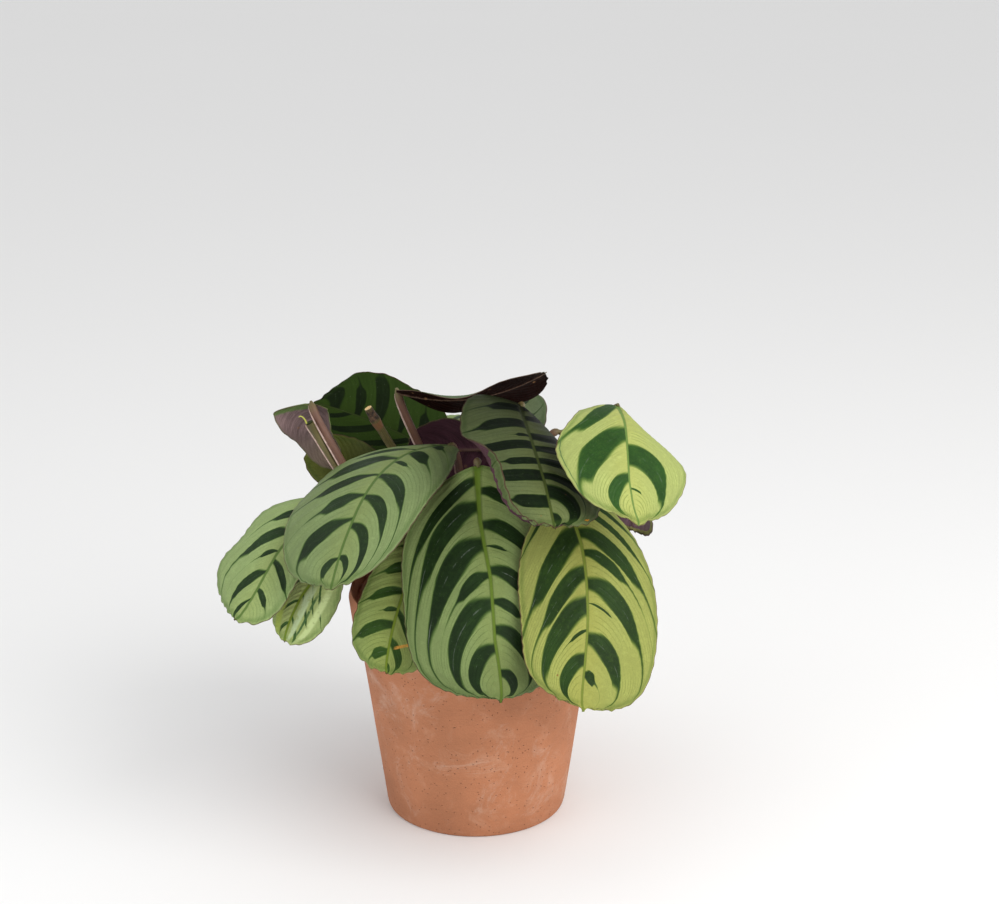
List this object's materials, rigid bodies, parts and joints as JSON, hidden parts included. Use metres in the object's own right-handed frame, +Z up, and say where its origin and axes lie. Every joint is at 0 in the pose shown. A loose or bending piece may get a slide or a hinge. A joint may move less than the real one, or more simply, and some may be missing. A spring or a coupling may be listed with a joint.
{
  "type": "potted ctenanthe",
  "caption": "House plant with broad drooping leaves in bold light and dark green stripes, on slender stalks bundled in shoots that grow from the soil of a plain round pot.",
  "frame": {"origin": "centre of the flat underside of the pot, on the surface that the pot stands on", "axes": "+Z up along the pot's axis; the plant's fullest side, which the picture shows, faces -Y; +X is to the right as seen from the front"},
  "size_m": [0.2239, 0.2207, 0.2405],
  "materials": {
    "pot": "plain unglazed terracotta, matt, slightly mottled",
    "soil": "dark crumbly potting mix with bits of bark",
    "stems": "brown to olive stalks with pale papery edges, satin",
    "leaves": "light green with dark green stripes along the side veins, satin; underside dull purple"
  },
  "bodies": {
    "root": {"pot": "pot", "soil": "soil", "shoot_front": "stems", "shoot_front_left": "stems", "shoot_left": "stems", "shoot_middle": "stems", "shoot_front_right": "stems", "shoot_right": "stems", "shoot_back_left": "stems", "shoot_back": "stems", "shoot_back_right": "stems", "leaf_front_middle": "leaves", "leaf_front_right": "leaves", "leaf_front_left": "leaves", "leaf_left_arching": "leaves", "leaf_left_far": "leaves", "leaf_left_curled": "leaves", "leaf_centre_shaded": "leaves", "leaf_right_pale": "leaves", "leaf_back_upright": "leaves", "leaf_left_purple": "leaves", "leaf_left_olive": "leaves", "leaf_crown": "leaves", "leaf_behind_crown": "leaves", "leaf_right_side": "leaves", "leaf_right_back": "leaves", "leaf_back_middle": "leaves", "leaf_back_left_low": "leaves", "leaf_back_right_low": "leaves", "leaf_left_side": "leaves", "leaf_left_back": "leaves", "leaf_back_top": "leaves", "leaf_right_top": "leaves", "leaf_back_left_top": "leaves", "leaf_right_front_low": "leaves"}
  },
  "joints": []
}
